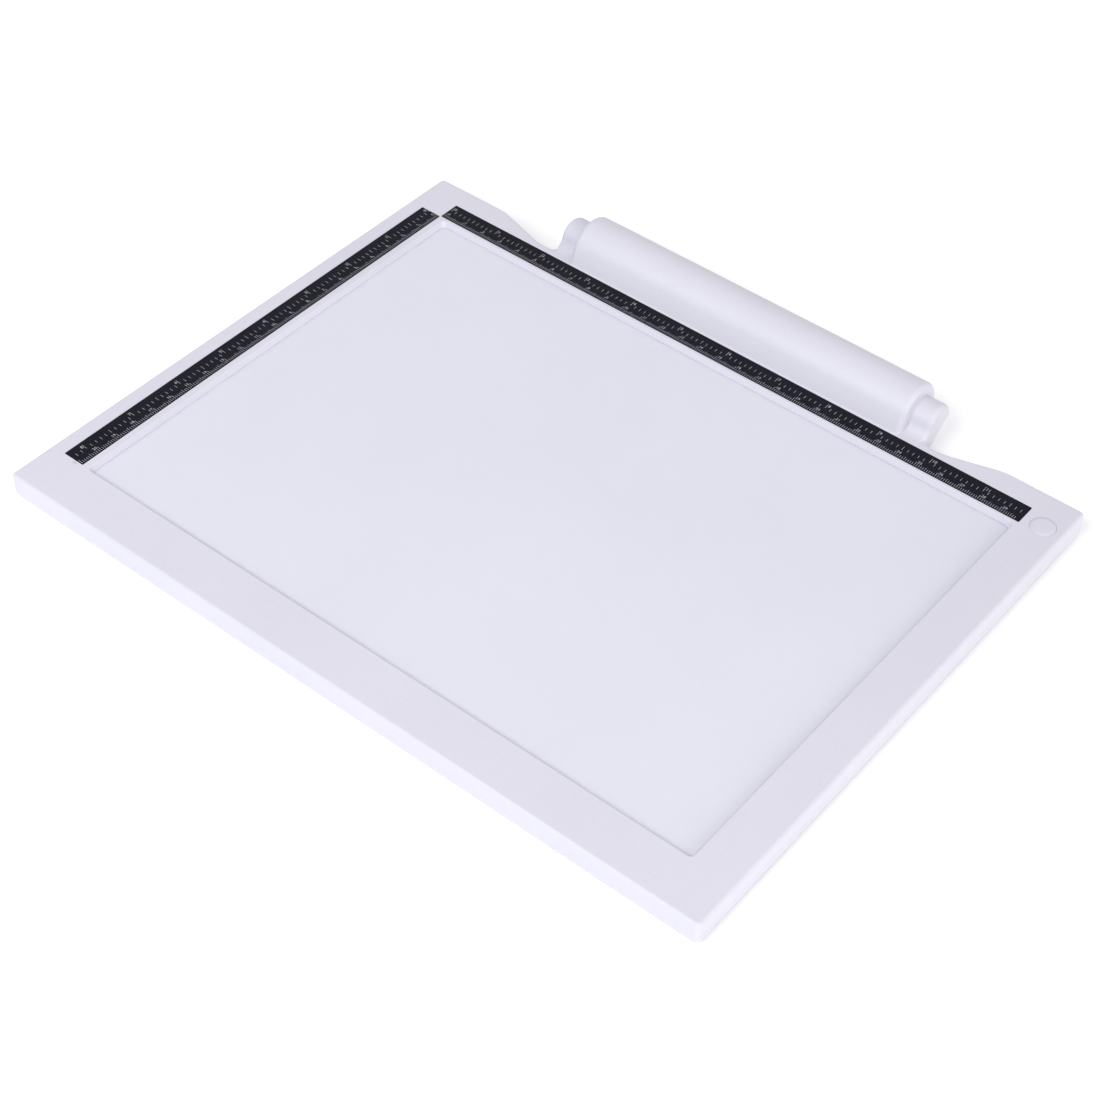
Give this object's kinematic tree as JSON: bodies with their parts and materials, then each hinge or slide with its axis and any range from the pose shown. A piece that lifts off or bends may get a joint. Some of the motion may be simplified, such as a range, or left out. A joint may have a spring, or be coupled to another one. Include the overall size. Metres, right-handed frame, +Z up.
{
  "type": "light box",
  "caption": "Thin lit drawing board with a milky panel, two printed rulers, a round power button and a battery barrel along its back edge.",
  "frame": {"origin": "on the surface it stands on, under the middle of its bounding box", "axes": "+X along the long side to the right as its user sees it, +Y to the back edge with the barrel, +Z up"},
  "size_m": [0.3362, 0.2724, 0.0275],
  "materials": {
    "white_abs": "fine satin moulding",
    "milky_acrylic": "smooth milky sheet",
    "black_film": "printed film",
    "clear_acrylic": "clear polished edge",
    "white_film": "matt film",
    "circuit_board": "solder mask",
    "black_plastic": "moulded",
    "steel": "plated",
    "rubber": "matt",
    "cell_wrap": "printed wrap",
    "red_wire": "insulation",
    "black_wire": "insulation"
  },
  "bodies": {
    "board": {"back_cover": "white_abs", "battery_tray": "black_plastic", "cell_1": "cell_wrap", "cell_2": "cell_wrap", "cell_3": "cell_wrap", "contact_plate": "steel", "contact_spring": "steel", "control_board": "circuit_board", "dc_socket": "black_plastic", "diffuser_film": "white_film", "drawing_panel": "milky_acrylic", "foot_1": "rubber", "foot_2": "rubber", "foot_3": "rubber", "foot_4": "rubber", "lead_negative": "black_wire", "lead_positive": "red_wire", "led_lead": "black_wire", "led_strip": "circuit_board", "light_guide": "clear_acrylic", "panel_carrier": "white_abs", "reflector_sheet": "white_film", "ruler_left": "black_film", "ruler_top": "black_film", "screw_1": "steel", "screw_2": "steel", "screw_3": "steel", "screw_4": "steel", "screw_5": "steel", "screw_6": "steel", "screw_7": "steel", "screw_8": "steel", "switch_body": "black_plastic", "top_frame": "white_abs"},
    "button": {"power_button": "white_abs", "switch_plunger": "black_plastic"},
    "door": {"battery_door": "white_abs"}
  },
  "joints": [
    {"name": "power_press", "type": "slide", "parent": "board", "child": "button", "axis": [0, 0, -1], "range_m": [0, 0.0005], "stiffness_N_per_m": 400},
    {"name": "battery_door_swing", "type": "hinge", "parent": "board", "child": "door", "pos_m": [0, 0.13397, 0.0128], "axis": [1, 0, 0], "range_deg": [0, 80]}
  ]
}
